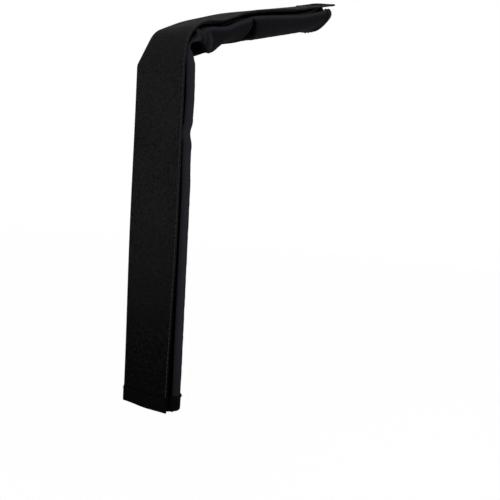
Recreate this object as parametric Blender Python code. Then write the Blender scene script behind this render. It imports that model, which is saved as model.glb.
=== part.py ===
"""A wrap-round protector sleeve of black canvas, folded over an edge.

One sheet of doubled canvas is rolled into a flat-fronted tube. Its left fold turns into a wide
front flap, and the right-hand roll turns into an underlap that lies beneath the flap. A loop strip
under the flap grips a hook strip on the underlap. One half, the leg, hangs down, and the other
half, the arm, runs off to +X and rises. The creased corner joins them.

Stations are lengths along the front face, zero at the first crease, negative down the leg.
Across runs from the left fold, at +Y, to the roll, at -Y. Depth runs from the flap's outer
face into the sleeve. Metres, +Z up, origin on the underside of the arm beside the corner.
"""

import math

import bpy
import bmesh
import numpy as np

# Driving dimensions along the sleeve
LEG_LENGTH = 0.223
ARM_LENGTH = 0.2830
BODY_SHORTFALL = 0.0206

# Rise of the leg's front face above the horizontal, in degrees
LEG_ANGLE = 90.0

# Down the left fold the bend is a crisp facet between two creases, then a shoulder that flattens
# in two soft turns
LEFT_FIRST_CREASE = -0.0067
LEFT_FIRST_ROUNDING = 0.0020
LEFT_FACET_ANGLE = 52.6
LEFT_SECOND_CREASE = 0.0232
LEFT_SECOND_ROUNDING = 0.0098
LEFT_SHOULDER_ANGLE = 20.8
LEFT_THIRD_CREASE = 0.0593
LEFT_THIRD_ANGLE = 16.4
LEFT_FOURTH_CREASE = 0.1195
THIRD_ROUNDING = 0.0150
FOURTH_ROUNDING = 0.0200
ARM_ANGLE = 13.4

# Down the right side it is one round turn, then the same soft ones
RIGHT_TURN = 0.0123
RIGHT_TURN_ROUNDING = 0.0188
RIGHT_SHOULDER_ANGLE = 20.4
RIGHT_THIRD_CREASE = 0.0433
RIGHT_THIRD_ANGLE = 14.4
RIGHT_FOURTH_CREASE = 0.0850

# How far the right-hand corner of each end runs past the left-hand one
LEG_END_SLANT = 0.0027
ARM_END_SLANT = 0.0035

# Section
SLEEVE_WIDTH = 0.0384
SLEEVE_DEPTH = 0.0193
BELLY_OVERSHOOT = 0.0006
WIDEST_DEPTH = 0.0065
BELLY_EXPONENT = 1.75
ROLL_WIDTH = 0.0040
FLAP_SETBACK = 0.0040
FLAP_NARROWING = 0.0020
FLAP_TAPER_LENGTH = 0.1214
UNDERLAP_SETBACK = 0.0080

# Cloth and strip thicknesses
FLAP_CLOTH = 0.0010
LOOP_PILE = 0.0007
HOOK_PILE = 0.0007
UNDERLAP_CLOTH = 0.0010
COVER_CLOTH = 0.0010
LINING_CLOTH = 0.0007
TAPE_CLOTH = 0.0004
GAP = 0.0003

# Strips and tapes
STRIP_MARGIN = 0.0025
EDGE_TAPE_WIDTH = 0.0034
END_TAPE_WIDTH = 0.0085
TAPE_FOLD_CLEARANCE = COVER_CLOTH + GAP + LINING_CLOTH + GAP

# The end tapes draw the belly in a little towards the raw ends
HEM_DRAW = 0.0004
HEM_DRAW_LENGTH = 0.0200
HEM_DRAW_SHARE = 0.45
MIDDLE_SHARE = 0.5

# Where the corner pieces meet those of the leg and the arm
CORNER_COVER_START = -0.032
CORNER_COVER_END = 0.122
CORNER_FLAP_START = -0.070
CORNER_FLAP_END = 0.140

# The bend: where the belly starts and ends its turn, the bending axis and the seat
TURN_START = -0.0040
TURN_END = 0.0300
BEND_DEPTH = 0.0042
SEAT_STATION = 0.1500

# Main folds of the body's cloth at the bend. Stations and half lengths are shares of the turn's
# length, places and half spans are shares of the way round the body, and rises of its depth.
BODY_FOLD_SHARES = (
    (0.60, 0.36, 0.64, 0.13, -0.20),
    (2.10, 0.90, 0.50, 0.32, -0.10),
)

# The fold beyond them, further along the arm
FAR_FOLD_STATION = 0.1065
FAR_FOLD_HALF_LENGTH = 0.0120
FAR_FOLD_SHARES = (0.66, 0.13, -0.10)

# The wave of the flap's free edge. The layers below it follow, and so does the roll: the wave
# fades out round the belly, between two shares of the way round the body.
WAVE_STATION = 0.0636
WAVE_HALF_LENGTH = 0.0276
WAVE_REACH = 0.0160
WAVE_DROP = 0.0034
WAVE_FADE_SHARES = (0.45, 0.76)

# Sampling of curves
PATH_SAMPLES = 4001
BELLY_POINTS = 17
ROLL_POINTS = 6
SIDE_POINTS = 3
PANEL_POINTS = 6
STRAIGHT_STATIONS = 6
ARM_STATIONS = 8
TURN_STATIONS = 10
APPROACH_STATIONS = 3
SHOULDER_STATIONS = 9
FAR_FOLD_STATIONS = 5
SHARP_ANGLE = 35.0

FLAP_WIDTH = SLEEVE_WIDTH - FLAP_SETBACK
UNDERLAP_END = SLEEVE_WIDTH - ROLL_WIDTH
LOOP_DEPTH = FLAP_CLOTH + GAP
HOOK_DEPTH = LOOP_DEPTH + LOOP_PILE + GAP
UNDERLAP_DEPTH = HOOK_DEPTH + HOOK_PILE + GAP
HALF = GAP / 2.0
STRIP_SETBACK = END_TAPE_WIDTH + GAP

CANVAS = ((0.0105, 0.0105, 0.0115), 0.62)
LINING = ((0.020, 0.020, 0.022), 0.75)
HOOKS = ((0.012, 0.012, 0.012), 0.45)
LOOPS = ((0.016, 0.016, 0.017), 0.90)
TAPE = ((0.009, 0.009, 0.0095), 0.58)


def clear_scene():
    for item in list(bpy.data.objects):
        bpy.data.objects.remove(item, do_unlink=True)


def smooth(share):
    """Goes from 0 to 1 with level ends as its argument does."""
    share = np.clip(share, 0.0, 1.0)
    return share * share * (3.0 - 2.0 * share)


def bell(distance, reach):
    """1 at the centre, falling smoothly to 0 at the reach."""
    return 1.0 - smooth(np.abs(distance) / reach)


def turned(station, turns):
    """Rise at a station, in radians, of a side that starts as the leg and makes these turns."""
    rise = LEG_ANGLE
    before = LEG_ANGLE
    for crease, rounding, after in turns:
        rise = rise + (after - before) * smooth((station - crease + rounding) / (2.0 * rounding))
        before = after
    return np.radians(rise)


LEFT_TURNS = (
    (LEFT_FIRST_CREASE, LEFT_FIRST_ROUNDING, LEFT_FACET_ANGLE),
    (LEFT_SECOND_CREASE, LEFT_SECOND_ROUNDING, LEFT_SHOULDER_ANGLE),
    (LEFT_THIRD_CREASE, THIRD_ROUNDING, LEFT_THIRD_ANGLE),
    (LEFT_FOURTH_CREASE, FOURTH_ROUNDING, ARM_ANGLE),
)
RIGHT_TURNS = (
    (RIGHT_TURN, RIGHT_TURN_ROUNDING, RIGHT_SHOULDER_ANGLE),
    (RIGHT_THIRD_CREASE, THIRD_ROUNDING, RIGHT_THIRD_ANGLE),
    (RIGHT_FOURTH_CREASE, FOURTH_ROUNDING, ARM_ANGLE),
)
BODY_END = ARM_LENGTH - BODY_SHORTFALL


def side_path(turns):
    """Stations along one side of the front face with their X and Z, summed in short steps."""
    reach = LEG_LENGTH + LEG_END_SLANT
    stations = np.linspace(-reach, ARM_LENGTH + ARM_END_SLANT, PATH_SAMPLES)
    rise = turned((stations[1:] + stations[:-1]) / 2.0, turns)
    steps = np.diff(stations)
    x = np.concatenate(([0.0], np.cumsum(np.cos(rise) * steps)))
    z = np.concatenate(([0.0], np.cumsum(np.sin(rise) * steps)))
    return stations, x, z - reach


LEFT_PATH = side_path(LEFT_TURNS)
RIGHT_PATH = side_path(RIGHT_TURNS)


def on_path(path, station):
    return np.stack((np.interp(station, path[0], path[1]), np.interp(station, path[0], path[2])), -1)


def front(station, share):
    """X and Z of the front face at a share of the width from the left fold."""
    across = np.asarray(share)[..., None]
    return on_path(LEFT_PATH, station) * (1.0 - across) + on_path(RIGHT_PATH, station) * across


def normal_inwards(station):
    """X and Z of the direction into the sleeve, square to its middle, away from the turn."""
    rise = (turned(station, LEFT_TURNS) + turned(station, RIGHT_TURNS)) / 2.0
    return np.stack((np.sin(rise), -np.cos(rise)), -1)


def lines_meet(first, along_first, second, along_second):
    """Where two lines in the XZ plane meet, each given by a point and a direction."""
    steps = np.linalg.solve(np.stack((along_first, -along_second), -1), second - first)
    return first + along_first * steps[0]


def inner_corner():
    """The belly at the turn's start, its sharp inner corner, and the belly at the turn's end."""
    rise = math.radians(RIGHT_SHOULDER_ANGLE + LEFT_SHOULDER_ANGLE) / 2.0
    start = front(TURN_START, 0.5) + SLEEVE_DEPTH * np.array((1.0, 0.0))
    end = front(TURN_END, 0.5) + SLEEVE_DEPTH * np.array((math.sin(rise), -math.cos(rise)))
    along = np.array((math.cos(rise), math.sin(rise)))
    return start, lines_meet(start, np.array((0.0, 1.0)), end, along), end


INNER_CORNER = inner_corner()


def inwards(station):
    """X and Z that one unit of depth adds at a station.

    Through the turn the belly follows a quadratic curve that hugs the inner corner, so the
    sections open like a fan.
    """
    station = np.asarray(station, dtype=float)
    share = np.clip((station - TURN_START) / (TURN_END - TURN_START), 0.0, 1.0)[..., None]
    start, corner, end = INNER_CORNER
    belly = start * (1.0 - share) ** 2 + 2.0 * corner * share * (1.0 - share) + end * share**2
    fan = (belly - front(station, 0.5)) / SLEEVE_DEPTH
    leg = np.broadcast_to((1.0, 0.0), fan.shape)
    plain = np.where(share <= 0.0, leg, normal_inwards(station))
    return np.where((share > 0.0) & (share < 1.0), fan, plain)


def unshifted(station, across, depth):
    """The point at a station, with the leg's front face at X zero."""
    share = np.asarray(across) / SLEEVE_WIDTH
    ends = (-LEG_LENGTH, 0.0, BODY_END)
    slant = np.interp(station, ends, (-LEG_END_SLANT, 0.0, ARM_END_SLANT))
    along = station + slant * (share - 0.5)
    spot = front(along, share) + inwards(along) * np.asarray(depth)[..., None]
    y = SLEEVE_WIDTH / 2.0 - across
    return np.stack(np.broadcast_arrays(spot[..., 0], y, spot[..., 1]), axis=-1)


ORIGIN = unshifted(SEAT_STATION, SLEEVE_WIDTH / 2.0, SLEEVE_DEPTH)


def place(station, across, depth):
    """The point at a station, across the sleeve and at a depth, in the part's own frame."""
    return unshifted(station, across, depth) - ORIGIN


def flap_width(station):
    """The flap is a little narrower at the leg's end."""
    from_end = station + LEG_LENGTH
    return FLAP_WIDTH - FLAP_NARROWING * (1.0 - smooth(from_end / FLAP_TAPER_LENGTH))


def body_outline():
    """Across and depth round the body, from the left fold to the roll's front.

    The left side is straight, the belly is half a superellipse with a flat strip, and the roll is
    a quarter of an ellipse that ends level with the underlap.
    """
    half = SLEEVE_WIDTH / 2.0
    side_depth = np.linspace(FLAP_CLOTH + GAP, WIDEST_DEPTH, SIDE_POINTS)[:-1]
    side = np.stack((np.zeros_like(side_depth), side_depth), axis=-1)
    angle = np.linspace(math.pi, 0.0, BELLY_POINTS)
    cosine = np.cos(angle)
    power = 2.0 / BELLY_EXPONENT
    across = half + half * np.sign(cosine) * np.abs(cosine) ** power
    bulge = SLEEVE_DEPTH + BELLY_OVERSHOOT - WIDEST_DEPTH
    depth = WIDEST_DEPTH + bulge * np.sin(angle) ** power
    belly = np.stack((across, np.minimum(depth, SLEEVE_DEPTH)), axis=-1)
    angle = np.linspace(0.0, math.pi / 2.0, ROLL_POINTS)[1:]
    across = SLEEVE_WIDTH - ROLL_WIDTH * (1.0 - np.cos(angle))
    depth = WIDEST_DEPTH - (WIDEST_DEPTH - UNDERLAP_DEPTH) * np.sin(angle)
    roll = np.stack((across, depth), axis=-1)
    return np.concatenate((side, belly, roll))


def outwards(points):
    """Unit normals that point out of the body at points round it."""
    along = np.gradient(points, axis=0)
    along[0] = (0.0, 1.0)
    along[-1] = (-1.0, 0.0)
    along /= np.linalg.norm(along, axis=1, keepdims=True)
    return np.stack((-along[:, 1], along[:, 0]), axis=-1)


BODY_POINTS = body_outline()
BODY_NORMALS = outwards(BODY_POINTS)
BODY_SHARES = np.linspace(0.0, 1.0, len(BODY_POINTS))


def wave(station):
    """How far the front layers' free side is lifted at a station: a drop is negative."""
    return -WAVE_DROP * bell(station - WAVE_STATION, WAVE_HALF_LENGTH)


def fold_shift(along, around, half_span, height):
    """Across and depth that one fold adds round the body.

    along is how far the fold is open at the station, from 0 to 1.
    """
    direction = [np.interp(around, BODY_SHARES, BODY_NORMALS[:, axis]) for axis in (0, 1)]
    rise = height * along * bell(BODY_SHARES - around, half_span)
    return rise[:, None] * np.array(direction)


def body_shift(station):
    """Across and depth that the wave, the hems and the folds add round the body at a station."""
    fade_start, fade_end = WAVE_FADE_SHARES
    drop = -wave(station) * smooth((BODY_SHARES - fade_start) / (fade_end - fade_start))
    shift = np.stack((np.zeros_like(drop), drop), axis=-1)
    from_raw_end = min(station + LEG_LENGTH, BODY_END - station)
    drawn_in = max(0.0, 1.0 - from_raw_end / HEM_DRAW_LENGTH)
    shift = shift + fold_shift(drawn_in, MIDDLE_SHARE, HEM_DRAW_SHARE, -HEM_DRAW)
    turned_share = (station - TURN_START) / (TURN_END - TURN_START)
    for centre, half_length, around, half_span, height_share in BODY_FOLD_SHARES:
        along = bell(turned_share - centre, half_length)
        shift = shift + fold_shift(along, around, half_span, height_share * SLEEVE_DEPTH)
    along = bell(station - FAR_FOLD_STATION, FAR_FOLD_HALF_LENGTH)
    around, half_span, height_share = FAR_FOLD_SHARES
    return shift + fold_shift(along, around, half_span, height_share * SLEEVE_DEPTH)


def flap_rise(station, across):
    """How far the wave lifts a front layer outwards, most at the free side."""
    from_edge = np.maximum(flap_width(station) - across, 0.0)
    return wave(station) * bell(from_edge, WAVE_REACH)


def body_line(station, inset, chosen=slice(None)):
    """Points round the body at a station, at an inset from its outer face."""
    points = BODY_POINTS + body_shift(station)
    points = points - outwards(points) * inset
    return place(station, points[chosen, 0], points[chosen, 1])


def panel_line(station, start, end, depth):
    """Points straight across a front panel at a station, at a depth."""
    across = np.linspace(start, end, PANEL_POINTS)
    return place(station, across, depth - flap_rise(station, across))


def body_layer(stations, outer, inner):
    """Outer and inner faces of a layer of the body between two insets."""
    return (
        np.array([body_line(station, outer) for station in stations]),
        np.array([body_line(station, inner) for station in stations]),
    )


def panel_layer(stations, start, end, outer, inner):
    """Outer and inner faces of a flat layer; start and end are functions of the station."""
    return tuple(
        np.array([panel_line(s, start(s), end(s), depth) for s in stations])
        for depth in (outer, inner)
    )


def closed_solid(outer, inner):
    """Faces of the solid between two grids of points, outer and inner, with its four rims.

    Both grids are split along the same diagonal, so layers of cloth keep their distance.
    """
    rows, columns = outer.shape[:2]
    points = np.concatenate((outer.reshape(-1, 3), inner.reshape(-1, 3)))
    index = np.arange(rows * columns).reshape(rows, columns)
    under = index + rows * columns
    quads = [
        np.stack((index[:-1, :-1], index[:-1, 1:], index[1:, 1:], index[1:, :-1]), axis=-1),
        np.stack((under[:-1, :-1], under[1:, :-1], under[1:, 1:], under[:-1, 1:]), axis=-1),
        np.stack((index[0, :-1], under[0, :-1], under[0, 1:], index[0, 1:]), axis=-1),
        np.stack((index[-1, :-1], index[-1, 1:], under[-1, 1:], under[-1, :-1]), axis=-1),
        np.stack((index[:-1, 0], index[1:, 0], under[1:, 0], under[:-1, 0]), axis=-1),
        np.stack((index[:-1, -1], under[:-1, -1], under[1:, -1], index[1:, -1]), axis=-1),
    ]
    faces = np.concatenate([quad.reshape(-1, 4) for quad in quads])
    return points, np.concatenate((faces[:, [0, 1, 2]], faces[:, [0, 2, 3]]))


def finish(name, look):
    """A plain finish of one piece: its colour and its roughness."""
    colour, roughness = look
    material = bpy.data.materials.new(name)
    material.use_nodes = True
    shader = material.node_tree.nodes["Principled BSDF"]
    shader.inputs["Base Color"].default_value = (*colour, 1.0)
    shader.inputs["Roughness"].default_value = roughness
    shader.inputs["Metallic"].default_value = 0.0
    return material


def piece(name, faces_of, look, hinge):
    """One sub-part as an object whose origin lies on its hinge."""
    points, faces = closed_solid(*faces_of)
    points = points - np.array(hinge.matrix_world.translation)
    mesh = bpy.data.meshes.new(name)
    mesh.from_pydata(points.tolist(), [], faces.tolist())
    cage = bmesh.new()
    cage.from_mesh(mesh)
    bmesh.ops.recalc_face_normals(cage, faces=cage.faces)
    cage.to_mesh(mesh)
    cage.free()
    mesh.shade_smooth()
    mesh.set_sharp_from_angle(angle=math.radians(SHARP_ANGLE))
    item = bpy.data.objects.new(name, mesh)
    item.data.materials.append(finish(name, look))
    PARTS.objects.link(item)
    item.parent = hinge
    return item


def axis_empty(name, position, parent=None):
    """An empty on a joint's axis, which carries the pieces that turn about it."""
    empty = bpy.data.objects.new(name, None)
    PARTS.objects.link(empty)
    offset = np.zeros(3) if parent is None else np.array(parent.matrix_world.translation)
    empty.location = position - offset
    empty.parent = parent
    bpy.context.view_layer.update()
    return empty


def bend_axis():
    """Where the neutral lines of leg and shoulder meet, a little behind the front face."""
    rise = math.radians(RIGHT_SHOULDER_ANGLE + LEFT_SHOULDER_ANGLE) / 2.0
    leg = place(CORNER_COVER_START, SLEEVE_WIDTH / 2.0, BEND_DEPTH)
    shoulder = place(TURN_END, SLEEVE_WIDTH / 2.0, BEND_DEPTH)
    height = shoulder[2] - (shoulder[0] - leg[0]) * math.tan(rise)
    return np.array((leg[0], 0.0, height))


def fold_line(station):
    """A point on the left fold, at the flap's outer face."""
    return place(station, 0.0, 0.0)


def underlap_line(station):
    """A point where the underlap leaves the roll, at its outer face."""
    return place(station, UNDERLAP_END - GAP, UNDERLAP_DEPTH)


def body_pieces(zone, stations, hinge):
    """The canvas cover and the lining inside it, along one zone."""
    lining = COVER_CLOTH + GAP
    piece(f"{zone}_cover", body_layer(stations, 0.0, COVER_CLOTH), CANVAS, hinge)
    piece(f"{zone}_lining", body_layer(stations, lining, lining + LINING_CLOTH), LINING, hinge)


def underlap_pieces(zone, stations, strip_stations, hinge):
    """The underlap and the hook strip sewn along its outer face."""

    def tip(station):
        return UNDERLAP_SETBACK

    def root(station):
        return UNDERLAP_END - GAP

    def strip_tip(station):
        return UNDERLAP_SETBACK + GAP

    def strip_root(station):
        return root(station) - STRIP_MARGIN

    panel = panel_layer(stations, tip, root, UNDERLAP_DEPTH, UNDERLAP_DEPTH + UNDERLAP_CLOTH)
    piece(f"{zone}_underlap", panel, CANVAS, hinge)
    strip = panel_layer(strip_stations, strip_tip, strip_root, HOOK_DEPTH, HOOK_DEPTH + HOOK_PILE)
    piece(f"{zone}_hook_strip", strip, HOOKS, hinge)


def flap_pieces(zone, stations, strip_stations, tape_stations, hinge):
    """The flap, the loop strip under it and the tape folded round its free edge."""

    def fold(station):
        return 0.0

    def strip_start(station):
        return UNDERLAP_SETBACK + GAP

    def strip_end(station):
        return flap_width(station) - EDGE_TAPE_WIDTH - GAP

    piece(f"{zone}_flap", panel_layer(stations, fold, flap_width, 0.0, FLAP_CLOTH), CANVAS, hinge)
    strip = panel_layer(strip_stations, strip_start, strip_end, LOOP_DEPTH, LOOP_DEPTH + LOOP_PILE)
    piece(f"{zone}_loop_strip", strip, LOOPS, hinge)
    piece(f"{zone}_flap_edge_tape", edge_tape(tape_stations), TAPE, hinge)


def edge_tape(stations):
    """Outer and inner faces of the tape folded round the flap's free edge."""
    outer, inner = [], []
    for station in stations:
        edge = flap_width(station)
        outer.append(channel_across(station, edge, GAP + TAPE_CLOTH))
        inner.append(channel_across(station, edge, GAP))
    return np.array(outer), np.array(inner)


def channel_across(station, edge, clearance):
    """A U round the flap's edge, at a clearance from its cloth, as points across and deep."""
    start = edge - EDGE_TAPE_WIDTH
    across = np.array((start, edge + clearance, edge + clearance, start))
    near = -clearance
    far = FLAP_CLOTH + clearance
    depth = np.array((near, near, far, far))
    return place(station, across, depth - flap_rise(station, np.minimum(across, edge)))


def end_tape(lines, stations, thickness):
    """A U folded over a raw end, from its outer leaf round to its inner one.

    lines gives the row of points at a station and an inset, and stations runs from the raw end to
    the tape's border.
    """
    raw, border = stations
    away = math.copysign(1.0, raw - border)
    faces = []
    for clearance in (GAP + TAPE_CLOTH, GAP):
        web = raw + away * clearance
        rows = (
            lines(border, -clearance),
            lines(web, -clearance),
            lines(web, thickness + clearance),
            lines(border, thickness + clearance),
        )
        faces.append(np.stack(rows, axis=1))
    return tuple(faces)


def end_tapes(zone, body_end, flap_end, inward, hinges):
    """The tapes over the raw ends of the body, the underlap and the flap."""
    body, flap, underlap = hinges
    doubled = COVER_CLOTH + GAP + LINING_CLOTH
    middle = slice(SIDE_POINTS - 1, len(BODY_POINTS) - 1)

    def body_row(station, inset):
        return body_line(station, inset, middle)

    def underlap_row(station, inset):
        start = UNDERLAP_SETBACK
        end = UNDERLAP_END - TAPE_FOLD_CLEARANCE
        return panel_line(station, start, end, UNDERLAP_DEPTH + inset)

    def flap_row(station, inset):
        end = flap_width(station) - EDGE_TAPE_WIDTH - GAP
        return panel_line(station, TAPE_FOLD_CLEARANCE, end, inset)

    body_ends = (body_end, body_end + inward * END_TAPE_WIDTH)
    flap_ends = (flap_end, flap_end + inward * END_TAPE_WIDTH)
    piece(f"{zone}_body_end_tape", end_tape(body_row, body_ends, doubled), TAPE, body)
    piece(f"{zone}_underlap_end_tape", end_tape(underlap_row, body_ends, UNDERLAP_CLOTH), TAPE, underlap)
    piece(f"{zone}_flap_end_tape", end_tape(flap_row, flap_ends, FLAP_CLOTH), TAPE, flap)


def corner_stations(start, end):
    """Stations of the corner's pieces, close together through the turn and the far fold."""
    fold_start = FAR_FOLD_STATION - FAR_FOLD_HALF_LENGTH
    fold_end = FAR_FOLD_STATION + FAR_FOLD_HALF_LENGTH
    approach = np.linspace(start + HALF, LEFT_FIRST_CREASE - LEFT_FIRST_ROUNDING, APPROACH_STATIONS)
    turn = np.linspace(LEFT_FIRST_CREASE, TURN_END, TURN_STATIONS)
    shoulder = np.linspace(TURN_END, fold_start, SHOULDER_STATIONS)[1:]
    fold = np.linspace(fold_start, fold_end, FAR_FOLD_STATIONS)[1:]
    return np.concatenate((approach, turn, shoulder, fold, (end - HALF,)))


clear_scene()
PARTS = bpy.data.collections.new("rope_protector_sleeve")
bpy.context.scene.collection.children.link(PARTS)

ARM = axis_empty("arm_seat", np.zeros(3))
LEG = axis_empty("corner_bend_axis", bend_axis(), ARM)
LEG_FLAP = axis_empty("leg_flap_hinge", fold_line(-LEG_LENGTH), LEG)
LEG_UNDERLAP = axis_empty("leg_underlap_hinge", underlap_line(-LEG_LENGTH), LEG)
ARM_FLAP = axis_empty("arm_flap_hinge", fold_line(ARM_LENGTH), ARM)
ARM_UNDERLAP = axis_empty("arm_underlap_hinge", underlap_line(BODY_END), ARM)

leg_straight = np.linspace(HEM_DRAW_LENGTH - LEG_LENGTH, CORNER_COVER_START - HALF, STRAIGHT_STATIONS)
leg_cover = np.concatenate(((-LEG_LENGTH,), leg_straight))
corner_cover = corner_stations(CORNER_COVER_START, CORNER_COVER_END)
arm_straight = np.linspace(CORNER_COVER_END + HALF, BODY_END - HEM_DRAW_LENGTH, ARM_STATIONS)
arm_cover = np.concatenate((arm_straight, (BODY_END,)))
leg_panel = np.linspace(-LEG_LENGTH, CORNER_FLAP_START - HALF, STRAIGHT_STATIONS)
corner_panel = corner_stations(CORNER_FLAP_START, CORNER_FLAP_END)
arm_panel = np.linspace(CORNER_FLAP_END + HALF, ARM_LENGTH, ARM_STATIONS)
arm_under = np.linspace(CORNER_FLAP_END + HALF, BODY_END, ARM_STATIONS)
leg_strip = np.linspace(-LEG_LENGTH + STRIP_SETBACK, CORNER_FLAP_START - HALF, STRAIGHT_STATIONS)
arm_strip = np.linspace(CORNER_FLAP_END + HALF, BODY_END - STRIP_SETBACK, ARM_STATIONS)
arm_tape = np.linspace(CORNER_FLAP_END + HALF, ARM_LENGTH - STRIP_SETBACK, ARM_STATIONS)

body_pieces("leg", leg_cover, LEG)
body_pieces("corner", corner_cover, ARM)
body_pieces("arm", arm_cover, ARM)
underlap_pieces("leg", leg_panel, leg_strip, LEG_UNDERLAP)
underlap_pieces("corner", corner_panel, corner_panel, ARM)
underlap_pieces("arm", arm_under, arm_strip, ARM_UNDERLAP)
flap_pieces("leg", leg_panel, leg_strip, leg_strip, LEG_FLAP)
flap_pieces("corner", corner_panel, corner_panel, corner_panel, ARM)
flap_pieces("arm", arm_panel, arm_strip, arm_tape, ARM_FLAP)
end_tapes("leg", -LEG_LENGTH, -LEG_LENGTH, 1.0, (LEG, LEG_FLAP, LEG_UNDERLAP))
end_tapes("arm", BODY_END, ARM_LENGTH, -1.0, (ARM, ARM_FLAP, ARM_UNDERLAP))
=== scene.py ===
"""Looks of a black canvas protector sleeve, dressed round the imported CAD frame.

Lengths are metres in the part's own frame: +Z up, the arm runs off to +X, and the flap's fold is
at +Y. Stations are lengths along the front face, zero at the first crease, negative down the leg.
"""

import math

import bpy
import numpy as np
from mathutils import Matrix


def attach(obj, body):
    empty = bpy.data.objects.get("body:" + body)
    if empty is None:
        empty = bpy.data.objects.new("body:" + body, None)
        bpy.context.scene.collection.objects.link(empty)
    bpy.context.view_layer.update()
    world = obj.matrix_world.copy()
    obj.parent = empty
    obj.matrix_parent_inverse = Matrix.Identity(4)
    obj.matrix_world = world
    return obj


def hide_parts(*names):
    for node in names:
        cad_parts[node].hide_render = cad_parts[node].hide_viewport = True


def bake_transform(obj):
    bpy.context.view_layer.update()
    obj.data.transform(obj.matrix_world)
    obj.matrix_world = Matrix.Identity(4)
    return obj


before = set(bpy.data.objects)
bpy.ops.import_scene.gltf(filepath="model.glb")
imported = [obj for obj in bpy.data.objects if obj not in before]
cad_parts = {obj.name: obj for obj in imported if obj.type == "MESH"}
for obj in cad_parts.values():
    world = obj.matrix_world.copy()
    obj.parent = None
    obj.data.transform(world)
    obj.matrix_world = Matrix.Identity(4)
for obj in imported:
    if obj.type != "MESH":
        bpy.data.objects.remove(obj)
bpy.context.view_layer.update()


# Canvas cover
# The sides and rounded back of the sleeve: one sheet of black coated canvas, woven flat, rolled
# into a tube with a flat front, and folded over the edge so that its back creases.
LEG_LENGTH = 0.223
ARM_LENGTH = 0.2830
BODY_END = 0.2624
LEG_ANGLE = 90.0

# Turns of the front's two sides: station of the crease, half length of its rounding, and the rise
# in degrees after it
LEFT_TURNS = (
    (-0.0067, 0.0020, 52.6),
    (0.0232, 0.0098, 20.8),
    (0.0593, 0.0150, 16.4),
    (0.1195, 0.0200, 13.4),
)
RIGHT_TURNS = ((0.0123, 0.0188, 20.4), (0.0433, 0.0150, 14.4), (0.0850, 0.0200, 13.4))
SHOULDER_ANGLE = 20.6
LEG_END_SLANT = 0.0027
ARM_END_SLANT = 0.0035
PATH_SAMPLES = 4001

SLEEVE_WIDTH = 0.0384
SLEEVE_DEPTH = 0.0193
BELLY_OVERSHOOT = 0.0006
WIDEST_DEPTH = 0.0065
BELLY_EXPONENT = 1.75
FOLD_RADIUS = 0.0007
ROLL_WIDTH = 0.0028
ROLL_DEPTH = 0.0020
GROOVE_ACROSS = 0.0341
GROOVE_DEPTH = 0.0060
TURN_START = -0.0040
TURN_END = 0.0300
MIDDLE_SHARE = 0.5
LEG_BOW = 0.0006
LEG_BOW_STATION = -0.1150
LEG_BOW_REACH = 0.0900

# The seat under the arm, measured from the foot of the bend on the leg's front
SEAT = np.array((0.14165, 0.0, 0.03405))


def smooth(share):
    """Goes from 0 to 1 with level ends as its argument does."""
    share = np.clip(share, 0.0, 1.0)
    return share * share * (3.0 - 2.0 * share)


def ramp(value, span):
    """Goes smoothly from 0 at the span's first value to 1 at its second."""
    return smooth((value - span[0]) / (span[1] - span[0]))


def bell(distance, reach):
    """1 at the centre, falling smoothly to 0 at the reach."""
    return 1.0 - smooth(np.abs(distance) / reach)


def unit(vectors):
    """The vectors brought to length 1."""
    return vectors / np.linalg.norm(vectors, axis=-1, keepdims=True)


def running_sum(steps):
    """The sum before the first step and after each."""
    return np.concatenate(([0.0], np.cumsum(steps)))


def turned(station, turns):
    """Rise in radians of a side that starts as the leg and makes these smooth turns."""
    rise = LEG_ANGLE
    before = LEG_ANGLE
    for crease, rounding, after in turns:
        rise = rise + (after - before) * smooth((station - crease + rounding) / (2.0 * rounding))
        before = after
    return np.radians(rise)


def side_path(turns):
    """Stations along one side of the front face with their X and Z, summed in short steps."""
    reach = LEG_LENGTH + LEG_END_SLANT + SLEEVE_WIDTH
    stations = np.linspace(-reach, ARM_LENGTH + ARM_END_SLANT + SLEEVE_WIDTH, PATH_SAMPLES)
    rise = turned((stations[1:] + stations[:-1]) / 2.0, turns)
    steps = np.diff(stations)
    return stations, running_sum(np.cos(rise) * steps), running_sum(np.sin(rise) * steps) - reach


LEFT_PATH = side_path(LEFT_TURNS)
RIGHT_PATH = side_path(RIGHT_TURNS)


def on_path(path, station):
    """X and Z at stations along a path."""
    return np.stack((np.interp(station, path[0], path[1]), np.interp(station, path[0], path[2])), -1)


def front(station, share):
    """X and Z of the front face at a share of the width: the two sides' paths, mixed."""
    across = np.asarray(share)[..., None]
    return on_path(LEFT_PATH, station) * (1.0 - across) + on_path(RIGHT_PATH, station) * across


def inner_corner():
    """The belly at the turn's start, its sharp inner corner, and the belly at the turn's end."""
    rise = math.radians(SHOULDER_ANGLE)
    start = front(TURN_START, MIDDLE_SHARE) + SLEEVE_DEPTH * np.array((1.0, 0.0))
    end = front(TURN_END, MIDDLE_SHARE) + SLEEVE_DEPTH * np.array((math.sin(rise), -math.cos(rise)))
    climb = (end[1] - start[1]) - (end[0] - start[0]) * math.tan(rise)
    return start, start + np.array((0.0, climb)), end


INNER_CORNER = inner_corner()


def inwards(station):
    """X and Z that one unit of depth adds: square to the face, but a fan through the turn.

    There the belly follows a quadratic curve from its start to its end that hugs its corner.
    """
    share = np.clip((station - TURN_START) / (TURN_END - TURN_START), 0.0, 1.0)[..., None]
    start, corner, end = INNER_CORNER
    belly = start * (1.0 - share) ** 2 + 2.0 * corner * share * (1.0 - share) + end * share**2
    fan = (belly - front(station, MIDDLE_SHARE)) / SLEEVE_DEPTH
    rise = (turned(station, LEFT_TURNS) + turned(station, RIGHT_TURNS)) / 2.0
    square = np.stack((np.sin(rise), -np.cos(rise)), -1)
    leg = np.broadcast_to((1.0, 0.0), fan.shape)
    plain = np.where(share <= 0.0, leg, square)
    return np.where((share > 0.0) & (share < 1.0), fan, plain)


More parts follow.
